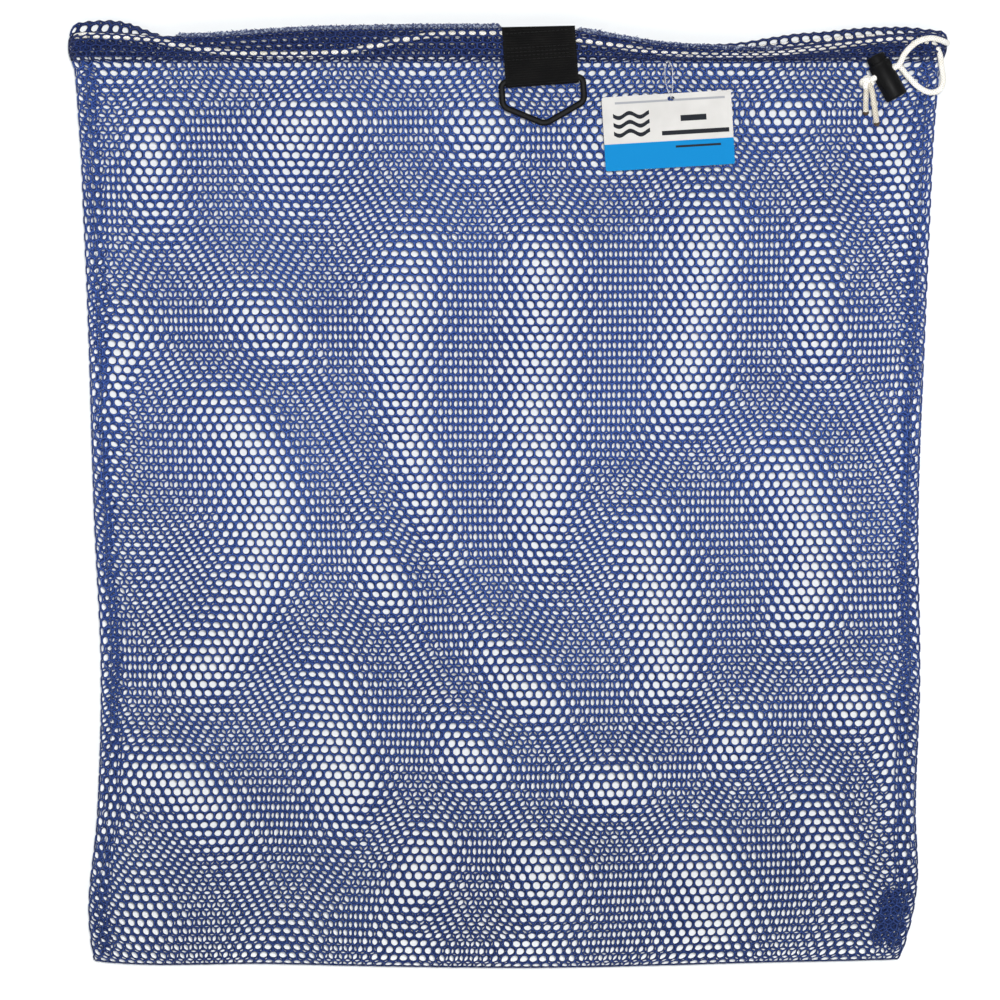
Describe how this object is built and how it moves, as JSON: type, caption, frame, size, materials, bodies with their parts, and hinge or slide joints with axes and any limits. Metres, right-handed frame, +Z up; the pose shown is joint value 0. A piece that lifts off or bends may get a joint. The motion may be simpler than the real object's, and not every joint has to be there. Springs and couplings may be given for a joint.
{
  "type": "drawstring mesh bag",
  "caption": "Flat hanging bag of blue hexagonal mesh with a corded mouth hem, cord lock, webbing tab, plastic D-ring and blank hang tag.",
  "frame": {"origin": "middle of the mouth at the height of the hem's top edge, half way between the front and back nets", "axes": "+X to the right across the bag seen from the front, +Z up along its height, front towards -Y"},
  "size_m": [0.606, 0.0432, 0.6493],
  "materials": {
    "net": "knitted polyester mesh, soft sheen",
    "thread": "navy sewing thread",
    "black_thread": "black sewing thread",
    "cord": "white braided cord",
    "melted_cord": "heat-sealed cord end",
    "webbing": "ribbed black webbing",
    "black_plastic": "moulded, satin",
    "card": "coated card",
    "clear_plastic": "clear nylon",
    "spring_steel": "bright wire"
  },
  "bodies": {
    "bag": {"back_net": "net", "back_hem": "net", "corner_hem_left": "net", "corner_hem_right": "net", "corner_net_right": "net", "bottom_fold": "net", "side_seam_left": "net", "side_seam_right": "net", "side_stitching_left": "thread", "side_stitching_right": "thread", "hem_stitching_back": "thread", "drawcord_back": "cord", "cord_strand_upper": "cord", "cord_strand_lower": "cord", "cord_knot": "cord", "cord_tail_left": "cord", "cord_tail_right": "cord", "cord_tip_left": "melted_cord", "cord_tip_right": "melted_cord"},
    "front_panel": {"front_net": "net", "front_hem": "net", "hem_stitching_left": "thread", "hem_stitching_right": "thread", "drawcord_front": "cord", "strap_top": "webbing", "strap_stitching": "black_thread"},
    "tab_loop": {"strap_loop": "webbing"},
    "ring": {"d_ring": "black_plastic"},
    "tag": {"hang_tag": "card", "tag_pin": "clear_plastic"},
    "cord_lock": {"lock_barrel": "black_plastic", "lock_spring": "spring_steel"},
    "lock_button": {"lock_plunger": "black_plastic"}
  },
  "joints": [
    {"name": "mouth_open", "type": "hinge", "parent": "bag", "child": "front_panel", "pos_m": [0, -0.0065, -0.6374], "axis": [1, 0, 0], "range_deg": [0, 4]},
    {"name": "tab_lift", "type": "hinge", "parent": "front_panel", "child": "tab_loop", "pos_m": [0.0225, -0.01475, -0.025], "axis": [-0.9976, 0, -0.0698], "range_deg": [0, 45]},
    {"name": "ring_swing", "type": "hinge", "parent": "tab_loop", "child": "ring", "pos_m": [0.02328, -0.01475, -0.03617], "axis": [-0.9976, 0, -0.0698], "range_deg": [-5, 120]},
    {"name": "tag_swing", "type": "hinge", "parent": "front_panel", "child": "tag", "pos_m": [0.11, -0.0104, -0.0238], "axis": [-1, 0, 0], "range_deg": [0, 60]},
    {"name": "lock_slide", "type": "slide", "parent": "bag", "child": "cord_lock", "axis": [0.8813, 0, 0.4726], "range_m": [0, 0.0035]},
    {"name": "button_press", "type": "slide", "parent": "cord_lock", "child": "lock_button", "axis": [0.4726, 0, -0.8813], "range_m": [0, 0.004], "stiffness_N_per_m": 600, "springref_m": -0.002, "deforming": ["lock_spring"]}
  ]
}
